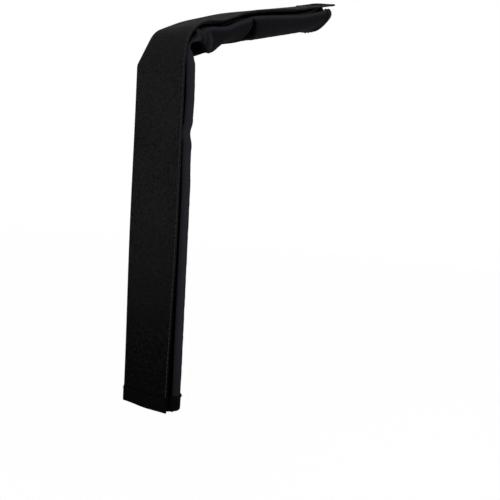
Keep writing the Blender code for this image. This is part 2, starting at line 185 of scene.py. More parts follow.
def place(station, across, depth):
    """The point at a station, across the sleeve from its left fold and at a depth.

    Given in the part's own frame, whose zero is the seat under the arm.
    """
    share = np.asarray(across) / SLEEVE_WIDTH
    bow = LEG_BOW * bell(station - LEG_BOW_STATION, LEG_BOW_REACH)
    ends = (-LEG_LENGTH, 0.0, BODY_END)
    slant = np.interp(station, ends, (-LEG_END_SLANT, 0.0, ARM_END_SLANT))
    along = np.asarray(station + slant * (share - MIDDLE_SHARE))
    spot = front(along, share) + inwards(along) * np.asarray(depth)[..., None]
    y = SLEEVE_WIDTH / 2.0 - across + bow * (1.0 - share)
    return np.stack(np.broadcast_arrays(spot[..., 0], y, spot[..., 1]), axis=-1) - SEAT


# Shares of the way round the body where the belly and the roll start, as in the CAD outline
SIDE_SHARE = 0.087
ROLL_SHARE = 0.783
OUTLINE_SAMPLES = 3001
BODY_COLUMNS = 132


def body_outline():
    """Across, depth, share and arc length at even steps round the body.

    A straight left side, half a superellipse for the belly, a quarter of an ellipse for the roll,
    and an S-curve down into the groove beside the flap.
    """
    share = np.linspace(0.0, 1.0, OUTLINE_SAMPLES)
    half = SLEEVE_WIDTH / 2.0
    power = 2.0 / BELLY_EXPONENT
    side = np.clip(share / SIDE_SHARE, 0.0, 1.0)
    angle = math.pi * (1.0 - np.clip((share - SIDE_SHARE) / (ROLL_SHARE - SIDE_SHARE), 0.0, 1.0))
    cosine = np.cos(angle)
    across = half + half * np.sign(cosine) * np.abs(cosine) ** power
    belly = (SLEEVE_DEPTH + BELLY_OVERSHOOT - WIDEST_DEPTH) * np.abs(np.sin(angle)) ** power
    depth = FOLD_RADIUS + (WIDEST_DEPTH - FOLD_RADIUS) * side + belly
    after = np.clip((share - ROLL_SHARE) / (1.0 - ROLL_SHARE), 0.0, 1.0) * 2.0
    turn = np.clip(after, 0.0, 1.0) * math.pi / 2.0
    crest_depth = WIDEST_DEPTH - (WIDEST_DEPTH - ROLL_DEPTH) * np.sin(turn)
    crest_across = SLEEVE_WIDTH - ROLL_WIDTH * (1.0 - np.cos(turn))
    slide = np.clip(after - 1.0, 0.0, 1.0)
    groove_across = SLEEVE_WIDTH - ROLL_WIDTH - (SLEEVE_WIDTH - ROLL_WIDTH - GROOVE_ACROSS) * slide
    groove_depth = ROLL_DEPTH + (GROOVE_DEPTH - ROLL_DEPTH) * smooth(slide)
    parts = [after <= 0.0, slide <= 0.0]
    across = np.select(parts, [across, crest_across], groove_across)
    depth = np.minimum(np.select(parts, [depth, crest_depth], groove_depth), SLEEVE_DEPTH)
    arc = running_sum(np.hypot(np.diff(across), np.diff(depth)))
    even = np.linspace(0.0, arc[-1], BODY_COLUMNS)
    return [np.interp(even, arc, values) for values in (across, depth, share)] + [even]


BODY_ACROSS, BODY_DEPTH, BODY_SHARE, BODY_ARC = body_outline()
BODY_GIRTH = BODY_ARC[-1]

# Main folds, as in the CAD: centre and half length along the turn, centre and half span round the
# body, and rise as a share of the depth
BODY_FOLD_SHARES = ((0.60, 0.36, 0.64, 0.13, -0.20), (2.10, 0.90, 0.50, 0.32, -0.13))
FAR_FOLD_STATION = 0.1065
FAR_FOLD_HALF_LENGTH = 0.0120
FAR_FOLD_SHARES = (0.66, 0.13, -0.10)
HEM_DRAW = 0.0004
HEM_DRAW_LENGTH = 0.0200
HEM_DRAW_SHARE = 0.45

# Swells round the arm's open end: centre and half span round the body, and rise by the depth
END_SWELL_SHARES = ((0.38, 0.22, 0.105), (0.66, 0.14, -0.045))
END_SWELL_LENGTH = 0.0460

# Where the roll is pinched in from the side: station, half length and depth by the sleeve's width.
# A negative depth bulges out. The pinch sets in between the two fade shares round the body.
PINCH_SHARES = (
    (0.16, 0.42, 0.064),
    (-0.64, 0.38, -0.013),
    (-1.24, 0.20, 0.052),
    (-1.66, 0.52, 0.018),
)
PINCH_FADE_SHARES = (0.50, 0.80)

# Lift of the flap's free edge and of the roll beside it: the station by the width, then both lifts
# by the depth. Past the bend both dip once, and along the arm the flap's edge stands off the roll.
LIFT_SHARES = (
    (-1.90, 0.000, 0.000),
    (-1.00, 0.000, 0.035),
    (-0.30, 0.000, 0.045),
    (0.00, 0.000, 0.025),
    (0.35, 0.010, -0.041),
    (0.60, 0.020, -0.062),
    (0.81, 0.055, -0.025),
    (1.02, 0.055, -0.050),
    (1.25, 0.012, -0.105),
    (1.46, -0.022, -0.152),
    (1.69, -0.048, -0.155),
    (1.93, 0.000, -0.088),
    (2.19, 0.038, -0.036),
    (2.42, 0.094, -0.002),
    (2.68, 0.120, 0.046),
    (2.94, 0.136, 0.057),
    (3.23, 0.136, 0.042),
    (3.78, 0.124, 0.005),
    (4.43, 0.084, -0.040),
    (5.08, 0.044, -0.085),
    (5.42, 0.041, -0.085),
    (5.78, 0.062, -0.062),
    (6.17, 0.062, -0.050),
    (6.51, 0.057, -0.016),
    (6.82, 0.067, 0.026),
    (7.37, 0.083, 0.026),
)
LIFT_WINDOW = 81
ROLL_FADE_SHARES = (0.45, 0.76)


def lift_curve(column):
    """A lift along the whole sleeve: straight runs through the table, softened by a window."""
    table = np.array(LIFT_SHARES)
    lift = np.interp(LEFT_PATH[0], table[:, 0] * SLEEVE_WIDTH, table[:, column] * SLEEVE_DEPTH)
    padded = np.pad(lift, LIFT_WINDOW // 2, mode="edge")
    window = np.hanning(LIFT_WINDOW)
    return np.convolve(padded, window / window.sum(), mode="valid")


FLAP_LIFT = lift_curve(1)
ROLL_LIFT = lift_curve(2)


def lift_at(station, curve):
    """The lift at stations, read off a curve."""
    return np.interp(station, LEFT_PATH[0], curve)


def pinch(station):
    """How far the roll is pushed sideways towards the middle."""
    along = station / SLEEVE_WIDTH
    pushed = sum(depth * bell(along - centre, reach) for centre, reach, depth in PINCH_SHARES)
    return pushed * SLEEVE_WIDTH


def bulge(along, around, half_span, height_share):
    """A rise round one place on the body, by a share of the depth and by its strength along."""
    return height_share * SLEEVE_DEPTH * along * bell(BODY_SHARE - around, half_span)


def fold_rise(station):
    """Height of the main folds over the grid of stations and columns: products of two bells."""
    turn = (station - TURN_START) / (TURN_END - TURN_START)
    rise = np.zeros(np.broadcast_shapes(station.shape, BODY_SHARE.shape))
    for centre, half_length, *fold in BODY_FOLD_SHARES:
        rise = rise + bulge(bell(turn - centre, half_length), *fold)
    rise = rise + bulge(bell(station - FAR_FOLD_STATION, FAR_FOLD_HALF_LENGTH), *FAR_FOLD_SHARES)
    drawn_in = HEM_DRAW * np.clip(1.0 - (station + LEG_LENGTH) / HEM_DRAW_LENGTH, 0.0, 1.0)
    rise = rise - drawn_in * bell(BODY_SHARE - MIDDLE_SHARE, HEM_DRAW_SHARE)
    for swell in END_SWELL_SHARES:
        rise = rise + bulge(bell(BODY_END - station, END_SWELL_LENGTH), *swell)
    return rise


# Sharp ridges of the cloth, whose crests get a painted highlight, and one broad swell, which does
# not. Each runs between two points, given by station as a share of the width and by place as a share
# of the girth; then its half width and height as shares of width and depth.
RIDGE_SHARES = (
    (0.16, 0.912, 0.43, 0.872, 0.060, 0.080),
    (0.43, 0.872, 0.60, 0.950, 0.055, 0.060),
    (0.58, 0.950, 0.68, 0.790, 0.055, 0.070),
    (0.84, 0.840, 0.95, 0.700, 0.110, 0.060),
    (2.67, 0.900, 2.32, 0.720, 0.060, 0.035),
)
SWELL_SHARES = ((0.96, 0.640, 1.38, 0.620, 0.340, 0.160),)

# Pockets of cloth pushed in between the folds, triangles whose apex lies near the roll: station and
# place of the apex, place, start and end of the base, and depth, as the same kinds of shares
POCKET_SHARES = (
    (0.20, 0.918, 0.70, -0.10, 0.86, 0.17),
    (2.67, 0.925, 0.68, 2.28, 3.02, 0.09),
)
POCKET_TIP_SHARE = 0.2
POCKET_FADE_SHARES = (2.0, 1.0)
CREASE_POWER = 1.25
RIPPLE_HEIGHT = 0.00012
RIPPLE_SHARES = ((3.1, 2.0, 0.4), (5.3, -3.0, 1.9), (1.7, 4.0, 4.4), (8.9, 5.0, 2.7))

# The creases grow from nothing over these lengths, by the depth, from the left fold and the groove
FOLD_CALM_SHARE = 0.25
GROOVE_CALM_SHARE = 0.125


def crease_rise(station, arc, creases):
    """Height of the creases: each falls off with the distance from its line, and at its ends."""
    rise = 0.0
    for start, start_round, end, end_round, half_width, height in creases:
        begin = np.array((start * SLEEVE_WIDTH, start_round * BODY_GIRTH))
        run = np.array((end * SLEEVE_WIDTH, end_round * BODY_GIRTH)) - begin
        along = ((station - begin[0]) * run[0] + (arc - begin[1]) * run[1]) / (run @ run)
        along = np.clip(along, 0.0, 1.0)
        gap = np.hypot(station - begin[0] - along * run[0], arc - begin[1] - along * run[1])
        flank = np.clip(1.0 - gap / (half_width * SLEEVE_WIDTH), 0.0, 1.0)
        rise = rise + height * SLEEVE_DEPTH * flank ** CREASE_POWER
    return rise


def pocket_share(station, arc, pocket):
    """How far a pocket is pushed in: half an ellipse across it, faded at its tip and base."""
    apex, apex_round, base_round, start, end, _ = pocket
    down = (apex_round - arc / BODY_GIRTH) / (apex_round - base_round)
    first = apex + (start - apex) * down
    last = apex + (end - apex) * down
    across = (station / SLEEVE_WIDTH - first) / np.where(down > 0.0, last - first, np.inf)
    hollow = np.sqrt(np.clip(4.0 * across * (1.0 - across), 0.0, 1.0))
    return hollow * smooth(down / POCKET_TIP_SHARE) * ramp(down, POCKET_FADE_SHARES)


def pockets(station, arc):
    """Depth of the pockets, and how deep in one each point lies as a share."""
    shares = [pocket_share(station, arc, pocket) for pocket in POCKET_SHARES]
    depth = sum(share * pocket[-1] for share, pocket in zip(shares, POCKET_SHARES))
    return depth * SLEEVE_DEPTH, np.clip(sum(shares), 0.0, 1.0)


def ripple(station, arc):
    """Low uneven waves of cloth: a few sines along and round the sleeve, added."""
    total = 0.0
    for along, around, phase in RIPPLE_SHARES:
        swing = along * station / SLEEVE_WIDTH + around * arc / BODY_GIRTH
        total = total + np.sin(2.0 * math.pi * swing + phase)
    return RIPPLE_HEIGHT * total / len(RIPPLE_SHARES)


def section_normals(across, depth):
    """Directions out of the body in its section: the outline's tangent turned a quarter."""
    along = unit(np.stack((np.gradient(across), np.gradient(depth)), axis=-1))
    return -along[:, 1], along[:, 0]


def grid_normals(points):
    """Unit normals of a grid of points: the cross product of its two directions."""
    return unit(np.cross(np.gradient(points, axis=0), np.gradient(points, axis=1)))


def body_surface(stations, creased=1.0):
    """Points and normals of the cover's outer face: the outline, shifted, then creased."""
    station = stations[:, None]
    drop = -lift_at(station, ROLL_LIFT) * ramp(BODY_SHARE, ROLL_FADE_SHARES)
    out_across, out_depth = section_normals(BODY_ACROSS, BODY_DEPTH)
    rise = fold_rise(station)
    across = BODY_ACROSS + rise * out_across - pinch(station) * ramp(BODY_SHARE, PINCH_FADE_SHARES)
    points = place(station, across, BODY_DEPTH + drop + rise * out_depth)
    from_fold = BODY_ARC / SLEEVE_DEPTH
    from_groove = (BODY_GIRTH - BODY_ARC) / SLEEVE_DEPTH
    free = smooth(from_fold / FOLD_CALM_SHARE) * smooth(from_groove / GROOVE_CALM_SHARE)
    height = crease_rise(station, BODY_ARC, RIDGE_SHARES + SWELL_SHARES) + ripple(station, BODY_ARC)
    height = creased * (height - pockets(station, BODY_ARC)[0]) * free
    points = points + grid_normals(points) * height[..., None]
    return points, grid_normals(points)


CANVAS_THICKNESS = 0.0009


def thick(points):
    """The outer and inner face of the canvas, from the points of its outer face."""
    return points, points - grid_normals(points) * CANVAS_THICKNESS


def shell(name, outer, inner, station, arc, material):
    """A closed cloth between two grids of points, with stations and arc lengths as its UV map."""
    rows, columns = outer.shape[:2]
    points = np.concatenate((outer.reshape(-1, 3), inner.reshape(-1, 3)))
    top = np.arange(rows * columns).reshape(rows, columns)
    under = top + rows * columns
    quads = (
        (top[:-1, :-1], top[1:, :-1], top[1:, 1:], top[:-1, 1:]),
        (under[:-1, :-1], under[:-1, 1:], under[1:, 1:], under[1:, :-1]),
        (top[0, :-1], top[0, 1:], under[0, 1:], under[0, :-1]),
        (top[-1, :-1], under[-1, :-1], under[-1, 1:], top[-1, 1:]),
        (top[:-1, 0], under[:-1, 0], under[1:, 0], top[1:, 0]),
        (top[:-1, -1], top[1:, -1], under[1:, -1], under[:-1, -1]),
    )
    faces = np.concatenate([np.stack(quad, axis=-1).reshape(-1, 4) for quad in quads])
    flat = np.stack(np.broadcast_arrays(station, arc), axis=-1).reshape(-1, 2)
    return cloth_mesh(name, points, faces, np.concatenate((flat, flat)), material)


CLOTH_SHARP_ANGLE = math.radians(50.0)


def new_item(name, points, faces, material):
    """A smooth-shaded object at the origin from points and faces."""
    mesh = bpy.data.meshes.new(name)
    mesh.from_pydata(points, [], faces)
    mesh.shade_smooth()
    mesh.materials.append(material)
    item = bpy.data.objects.new(name, mesh)
    bpy.context.scene.collection.objects.link(item)
    return item


def cloth_mesh(name, points, faces, flat, material):
    """A cloth object with one flat place a point as its UV map."""
    item = new_item(name, points.tolist(), faces.tolist(), material)
    mesh = item.data
    corners = np.empty(len(mesh.loops), dtype=np.int32)
    mesh.loops.foreach_get("vertex_index", corners)
    layer = mesh.uv_layers.new(name="cloth")
    layer.data.foreach_set("uv", flat[corners].astype(np.float32).ravel())
    mesh.set_sharp_from_angle(angle=CLOTH_SHARP_ANGLE)
    return item


def fill_inputs(tree, node, inputs):
    """Fills a node's inputs, each with a constant or with a link to another node's output."""
    for socket, value in inputs.items():
        if isinstance(value, bpy.types.NodeSocket):
            tree.links.new(value, node.inputs[socket])
        else:
            node.inputs[socket].default_value = value


def add_node(tree, kind, inputs, **settings):
    """Adds a shader node with its settings and inputs."""
    node = tree.nodes.new(kind)
    for name, value in settings.items():
        setattr(node, name, value)
    fill_inputs(tree, node, inputs)
    return node


def add_maths(tree, operation, *values):
    """Adds a Math node on one or two values and gives its output."""
    return add_node(tree, "ShaderNodeMath", dict(enumerate(values)), operation=operation).outputs[0]


def add_range(tree, value, span, target=(0.0, 1.0), **settings):
    """Maps a value from one span to another, clamped at its ends, and gives the output."""
    limits = dict(zip(("From Min", "From Max", "To Min", "To Max"), span + target))
    return add_node(tree, "ShaderNodeMapRange", {"Value": value, **limits}, **settings).outputs[0]


def add_noise(tree, scale, detail, vector):
    """Adds soft noise and gives its value."""
    inputs = {"Scale": scale, "Detail": detail, "Vector": vector}
    return add_node(tree, "ShaderNodeTexNoise", inputs).outputs[0]


def add_tint(tree, share, first, second):
    """Mixes two colours by a share and gives the result."""
    inputs = {"Factor": share, "A": first, "B": second}
    return add_node(tree, "ShaderNodeMix", inputs, data_type="RGBA").outputs["Result"]


def flat_place(tree):
    """The place on the cloth's flat UV map, in metres."""
    return add_node(tree, "ShaderNodeUVMap", {}, uv_map="cloth").outputs["UV"]


CANVAS_THREADS = 1900.0
SLUB_SCALE = 900.0


def woven_group():
    """A plain weave drawn from the flat UV map in metres, shared by every cloth.

    Each set of threads is a row of half-round ridges, and a checkerboard of the two sets decides
    which one lies on top. Puts out the height, and the tone of the top thread with its slubs.
    """
    group = bpy.data.node_groups.new("plain_weave", "ShaderNodeTree")
    group.interface.new_socket("Threads per metre", in_out="INPUT", socket_type="NodeSocketFloat")
    for label in ("Height", "Tone"):
        group.interface.new_socket(label, in_out="OUTPUT", socket_type="NodeSocketFloat")
    threads = add_node(group, "NodeGroupInput", {}).outputs[0]
    flat = flat_place(group)
    split = add_node(group, "ShaderNodeSeparateXYZ", {0: flat})
    waves = []
    for axis in ("X", "Y"):
        turns = add_maths(group, "MULTIPLY", split.outputs[axis], threads)
        waves.append(add_maths(group, "SINE", add_maths(group, "MULTIPLY", turns, math.pi)))
    checker = add_maths(group, "MULTIPLY", waves[0], waves[1])
    chosen = add_maths(group, "ADD", add_maths(group, "MULTIPLY", checker, 0.5), 0.5)
    on_top = (chosen, add_maths(group, "SUBTRACT", 1.0, chosen))
    ridges = [
        add_maths(group, "MULTIPLY", add_maths(group, "ABSOLUTE", wave), share)
        for wave, share in zip(waves, on_top)
    ]
    height = add_maths(group, "ADD", *ridges)
    slubs = add_noise(group, SLUB_SCALE, 2.0, flat)
    tone = add_maths(group, "MULTIPLY", height, add_maths(group, "ADD", slubs, 0.5))
    add_node(group, "NodeGroupOutput", {"Height": height, "Tone": tone})
    return group


# Heights between which the painted falloff lifts from dark to pale and the specks of lint calm down,
# and the spans that the noise, the patches and the specks, low down and higher up, run over
PAINTED_FALLOFF_HEIGHTS = (-0.280, -0.085)
CALMING_HEIGHTS = (-0.250, -0.200)
NOISE_SPAN = (0.3, 0.7)
PATCH_SPAN = (0.8, 1.2)
SPECK_SPANS = ((-3.0, 4.4), (0.46, 1.54))
PATCH_SCALE = 38.0
SPECK_SCALE = 800.0


def make_dust_and_falloff_group():
    """Where the cloth is paler: dust, and painted light that falls off down the leg; most on the bend and
    arm, least low down.

    Rises with the height on the object, a painted falloff that darkens the leg towards its foot,
    mixed with broad noise of dust and specks of lint, which stand out most low down. Puts out the mask,
    and the specks by themselves.
    """
    group = bpy.data.node_groups.new("dust_and_painted_falloff", "ShaderNodeTree")
    for label in ("Mask", "Specks"):
        group.interface.new_socket(label, in_out="OUTPUT", socket_type="NodeSocketFloat")
    spot = add_node(group, "ShaderNodeTexCoord", {}).outputs["Object"]
    height = add_node(group, "ShaderNodeSeparateXYZ", {0: spot}).outputs["Z"]
    climb = add_range(group, height, PAINTED_FALLOFF_HEIGHTS, interpolation_type="SMOOTHSTEP")
    patches = add_range(group, add_noise(group, PATCH_SCALE, 4.0, spot), NOISE_SPAN, PATCH_SPAN)
    specks = add_noise(group, SPECK_SCALE, 3.0, spot)
    strong, calm = [add_range(group, specks, NOISE_SPAN, span) for span in SPECK_SPANS]
    upper = add_range(group, height, CALMING_HEIGHTS)
    lint = add_node(group, "ShaderNodeMix", {"Factor": upper, "A": strong, "B": calm}).outputs[0]
    mask = add_maths(group, "MULTIPLY", add_maths(group, "MULTIPLY", climb, patches), lint)
    add_node(group, "NodeGroupOutput", {"Mask": mask, "Specks": specks})
    return group


PLAIN_WEAVE = woven_group()
DUST_AND_FALLOFF_GROUP = make_dust_and_falloff_group()

# Tones of the painted highlight and of the painted shade
PAINTED_HIGHLIGHT_TONE = (0.0290, 0.0280, 0.0340, 1.0)
PAINTED_SHADE_TONE = (0.0006, 0.0006, 0.0006, 1.0)
ROUGHNESS_SWING = 0.08
WEAVE_BUMP = 0.5


def new_material(name, constants):
    """A material, its node tree, and its Principled shader with constants on its sockets."""
    material = bpy.data.materials.new(name)
    material.use_nodes = True
    shader = material.node_tree.nodes["Principled BSDF"]
    fill_inputs(material.node_tree, shader, constants)
    return material, material.node_tree, shader


def feed_shader(tree, shader, tone, uneven, roughnesses, height, strength, depth):
    """Feeds a shader its colour, a roughness between two values, and the bump of a height."""
    ridges = {"Strength": strength, "Distance": depth, "Height": height}
    bump = add_node(tree, "ShaderNodeBump", ridges).outputs[0]
    roughness = add_range(tree, uneven, (0.0, 1.0), roughnesses)
    fill_inputs(tree, shader, {"Base Color": tone, "Roughness": roughness, "Normal": bump})


def cloth_material(name, dark, pale, roughness, depth, shine, sheen=0.0, threads=CANVAS_THREADS):
    """Woven black cloth: two tones by weave, dust and painted falloff, uneven roughness, and the weave's
    bump.

    The colour attribute holds two masks of painted light: red a painted highlight along a roll's
    crest and ridges, green painted shade deep in a fold and beside the groove. Cloth without it has
    neither.
    """
    constants = {"Specular IOR Level": shine, "Sheen Weight": sheen, "Sheen Roughness": 0.4}
    material, tree, shader = new_material(name, constants)
    weave = add_node(tree, "ShaderNodeGroup", {0: threads}, node_tree=PLAIN_WEAVE)
    dust_and_painted_falloff = add_node(tree, "ShaderNodeGroup", {}, node_tree=DUST_AND_FALLOFF_GROUP)
    share = add_maths(tree, "MULTIPLY", weave.outputs["Tone"], dust_and_painted_falloff.outputs["Mask"])
    tone = add_tint(tree, share, (*dark, 1.0), (*pale, 1.0))
    painted_light = add_node(tree, "ShaderNodeAttribute", {}, attribute_name="painted_light").outputs["Color"]
    masks = add_node(tree, "ShaderNodeSeparateColor", {0: painted_light})
    for mask, colour in (("Red", PAINTED_HIGHLIGHT_TONE), ("Green", PAINTED_SHADE_TONE)):
        tone = add_tint(tree, masks.outputs[mask], tone, colour)
    roughnesses = (roughness - ROUGHNESS_SWING, roughness + ROUGHNESS_SWING)
    specks = dust_and_painted_falloff.outputs["Specks"]
    feed_shader(tree, shader, tone, specks, roughnesses, weave.outputs["Height"], WEAVE_BUMP, depth)
    return material


WEAVE_DEPTH = 0.00010
BODY_CANVAS = cloth_material(
    "black_body_canvas",
    dark=(0.0056, 0.0053, 0.0070),
    pale=(0.0108, 0.0103, 0.0130),
    roughness=0.60,
    depth=WEAVE_DEPTH,
    shine=0.002,
)

# The front layers are cut into three lengths at the two peel stations. Rows run in even steps
# between the row stations, closest where the cloth folds; the last counts lead to the ends.
PEEL_STATIONS = (-0.0700, 0.1400)
ROW_STATIONS = (-LEG_LENGTH, PEEL_STATIONS[0], -0.0200, 0.0450, 0.1250, PEEL_STATIONS[1])
ROW_COUNTS = (64, 36, 80, 80, 8)
BODY_END_ROWS = 50


def row_stations(end, last_count):
    """Stations of the rows from the leg's end to an end of the arm."""
    stations = ROW_STATIONS + (end,)
    spans = zip(stations[:-1], stations[1:], ROW_COUNTS + (last_count,))
    rows = [np.linspace(start, stop, count + 1)[:-1] for start, stop, count in spans]
    return np.concatenate(rows + [[end]])


body_rows = row_stations(BODY_END, BODY_END_ROWS)
body_station = body_rows[:, None]
body_points = body_surface(body_rows)[0]
cover = shell("canvas_cover", *thick(body_points), body_station, BODY_ARC, BODY_CANVAS)

# A painted highlight along the roll's crest: the middle and half span of a band round the girth, on
# the leg and on the arm. It is weaker on the pleat at the bend and at the foot of the leg.
HIGHLIGHT_BAND_SHARES = (0.862, 0.112)
ARM_BAND_SHARES = (0.905, 0.048)
ARM_BAND_STATION = 0.0400
PLEAT_STATION = 0.0180
PLEAT_REACH = 0.0200
PLEAT_DULLING = 0.6
FOOT_DULLING = 0.45
FOOT_STATIONS = (-0.1700, -0.2200)
HIGHLIGHT_STRENGTH = 0.78
RIDGE_HIGHLIGHT_HEIGHT = 0.0012
POCKET_SHADE_GAIN = 1.5


def add_painted_light(item, painted_highlight, painted_shade_mask):
    """Stores the two masks of painted light, highlight and shade, of a double-faced cloth, given on the
    grid of one face.
    """
    layer = item.data.color_attributes.new("painted_light", "FLOAT_COLOR", "POINT")
    masks = np.stack(np.broadcast_arrays(painted_highlight, painted_shade_mask, 0.0, 1.0), axis=-1).reshape(-1, 4)
    layer.data.foreach_set("color", np.concatenate((masks, masks)).astype(np.float32).ravel())


# Painted highlight on the cover: the roll's band, weaker at the pleat and the foot, and the ridges' crests
on_arm = smooth(body_station / ARM_BAND_STATION)
middle, span = [leg + (arm - leg) * on_arm for leg, arm in zip(HIGHLIGHT_BAND_SHARES, ARM_BAND_SHARES)]
painted_highlight = bell(BODY_ARC / BODY_GIRTH - middle, span)
painted_highlight = painted_highlight * (1.0 - PLEAT_DULLING * bell(body_station - PLEAT_STATION, PLEAT_REACH))
painted_highlight = painted_highlight * (1.0 - FOOT_DULLING * ramp(body_station, FOOT_STATIONS))
painted_highlight = np.maximum(painted_highlight, crease_rise(body_station, BODY_ARC, RIDGE_SHARES) / RIDGE_HIGHLIGHT_HEIGHT)
painted_highlight = HIGHLIGHT_STRENGTH * np.clip(painted_highlight, 0.0, 1.0)
# Painted shade deep in the pockets between the folds
add_painted_light(cover, painted_highlight, smooth(POCKET_SHADE_GAIN * pockets(body_station, BODY_ARC)[1]))

BEND_BLEND_STATIONS = (-0.030, 0.044)
BEND_BLEND_DEPTH = 0.0042


def bend(item):
    """Bakes a piece's placement into its mesh; the two points of the blend from leg to arm are worked out
    but not used.
    """
    low, high = [place(s, SLEEVE_WIDTH / 2.0, BEND_BLEND_DEPTH) for s in BEND_BLEND_STATIONS]
    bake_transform(item)


bend(cover)
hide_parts("leg_cover", "corner_cover", "arm_cover")


# Lining
# A softer black cloth sewn inside the cover, which the rope runs against. It is cut a little
# smaller and shows at both open ends.
LINING_SHARE = 0.86
LINING_INSET = 0.0010
LINING_SLACK = 0.0034
LINING_SLACK_REACH = 0.0400
LINING_SLACK_STATIONS = (PLEAT_STATION, 0.1020)
LINING_THICKNESS = 0.0007
LINING_END_INSET = 0.0008
LINING_COLUMNS = slice(0, int(LINING_SHARE * BODY_COLUMNS))
LINING_WEAVE_DEPTH = 0.00008
LINING = cloth_material(
    "black_lining",
    dark=(0.0030, 0.0030, 0.0034),
    pale=(0.0100, 0.0100, 0.0106),
    roughness=0.74,
    depth=LINING_WEAVE_DEPTH,
    shine=0.05,
    sheen=0.02,
    threads=2600.0,
)
lining_rows = np.clip(body_rows, -LEG_LENGTH + LINING_END_INSET, BODY_END - LINING_END_INSET)
lining_points, lining_normals = [grid[:, LINING_COLUMNS] for grid in body_surface(lining_rows, 0.0)]
lining_slack = sum(bell(lining_rows - middle, LINING_SLACK_REACH) for middle in LINING_SLACK_STATIONS)
lining_inset = (LINING_INSET + LINING_SLACK * lining_slack)[:, None, None]
lining_faces = [
    lining_points - lining_normals * inset for inset in (lining_inset, lining_inset + LINING_THICKNESS)
]
lining_arc = BODY_ARC[LINING_COLUMNS]
lining = shell("lining_cloth", *lining_faces, lining_rows[:, None], lining_arc, LINING)
bend(lining)
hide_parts("leg_lining", "corner_lining", "arm_lining")


# Underlap
# The inner end of the same canvas. It leaves the roll in a groove beside the flap and lies flat
# under it, in three lengths, cut where the two outer ones would peel away from the ends.
UNDERLAP_SETBACK = 0.0080
UNDERLAP_DEPTH = 0.0032
UNDERLAP_RISE_PLACES = (0.0331, 0.0291)
UNDERLAP_COLUMNS = 34
LEG_PEEL_STATIONS = (-0.2050, -0.0760)
ARM_PEEL_STATIONS = (0.1440, 0.2560)
FLAP_SETBACK = 0.0040
FLAP_NARROWING = 0.0020
FLAP_TAPER_LENGTH = 0.1214
FLAP_LIFT_REACH = 0.0330
TONGUE_LIFT = 0.0014
TONGUE_CREST = 0.0150
TONGUE_REACH = 0.0175
HANG_STATIONS = (-0.1900, -0.2230)
HANG_FOLD = 0.0009
HANG_MIDDLE = 0.0024
HANG_WIDTH = 0.0190
SHOULDER_PLACES = (0.0190, 0.0310)
UNDER_CLOSE_STATIONS = (0.2250, 0.2550)
UNDER_END_RISE = 0.0016
UNDER_END_STATIONS = (0.2540, 0.2605)


def flap_width(station):
    """The flap is a little narrower at the leg's end."""
    from_end = station + LEG_LENGTH
    narrowing = FLAP_NARROWING * (1.0 - smooth(from_end / FLAP_TAPER_LENGTH))
    return SLEEVE_WIDTH - FLAP_SETBACK - narrowing


def flap_rise(station, across):
    """How far the flap is lifted: at its free side, and arched over the tongue at its end."""
    from_edge = np.maximum(flap_width(station) - across, 0.0)
    beyond = ramp(station, (BODY_END, ARM_LENGTH))
    arch = TONGUE_LIFT * beyond * bell(across - TONGUE_CREST, TONGUE_REACH)
    return lift_at(station, FLAP_LIFT) * bell(from_edge, FLAP_LIFT_REACH) + arch


def hang(station, across):
    """How far the front layers hang below the body's end: least at the fold, then as a sag."""
    low = ramp(station, HANG_STATIONS)
    return -low * (HANG_FOLD + (HANG_MIDDLE - HANG_FOLD) * smooth(across / HANG_WIDTH))


def flap_layer(station, across, depth):
    """Points of the flap or of a layer sewn to it."""
    return place(station + hang(station, across), across, depth - flap_rise(station, across))


def under_rise(station, across):
    """The underlap's lift: it dips with the flap and the roll, and rises near the arm's end."""
    rise = flap_rise(station, across)
    shoulder = np.minimum(lift_at(station, ROLL_LIFT), 0.0) * ramp(across, SHOULDER_PLACES)
    close = ramp(station, UNDER_CLOSE_STATIONS)
    end = UNDER_END_RISE * ramp(station, UNDER_END_STATIONS)
    return np.minimum(rise, 0.0) + np.maximum(rise, 0.0) * close + shoulder + end


def under_layer(station, across, depth):
    """Points of the underlap's flat part or of the strip sewn to it."""
    return place(station + hang(station, across), across, depth - under_rise(station, across))


def zones(stations):
    """Row numbers of the leg, corner and arm lengths of a front layer, which share end rows."""
    first, second = [int(np.argmin(np.abs(stations - s))) for s in PEEL_STATIONS]
    return {"leg": slice(0, first + 1), "corner": slice(first, second + 1), "arm": slice(second, None)}


def peel(item, zone):
    """Bakes one length of a front layer into place, the corner length through bend; the peel's two ends
    are worked out but not used.
    """
    if zone == "corner":
        bend(item)
        return
    low, high = LEG_PEEL_STATIONS if zone == "leg" else ARM_PEEL_STATIONS
    start = tuple(place(low, SLEEVE_WIDTH / 2.0, 0.0))
    end = tuple(place(high, SLEEVE_WIDTH / 2.0, 0.0))
    if zone == "leg":
        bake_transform(item)
    else:
        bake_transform(item)


def layer_pieces(suffix, rows, faces, arc, material, flap, slot, node_suffix):
    """The three lengths of a front layer as pieces that stand for their CAD nodes."""
    made = {}
    for zone, part in zones(rows).items():
        outer, inner = [face[part] for face in faces]
        item = shell(f"{zone}_{suffix}", outer, inner, rows[part, None], arc[part], material)
        peel(item, zone)
        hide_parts(f"{zone}_{node_suffix}")
        made[zone] = item
    return made


def underlap_surface(stations):
    """Points of the underlap's outer face: an S-curve out of the groove, then flat."""
    across = np.linspace(GROOVE_ACROSS, UNDERLAP_SETBACK, UNDERLAP_COLUMNS)[None, :]
    climb = ramp(across, UNDERLAP_RISE_PLACES)
    depth = GROOVE_DEPTH + (UNDERLAP_DEPTH - GROOVE_DEPTH) * climb
    station = stations[:, None]
    lift = under_rise(station, across) * climb + lift_at(station, ROLL_LIFT) * (1.0 - climb)
    along = station + hang(station, across)
    return place(along, across - pinch(station) * (1.0 - climb), depth - lift), across


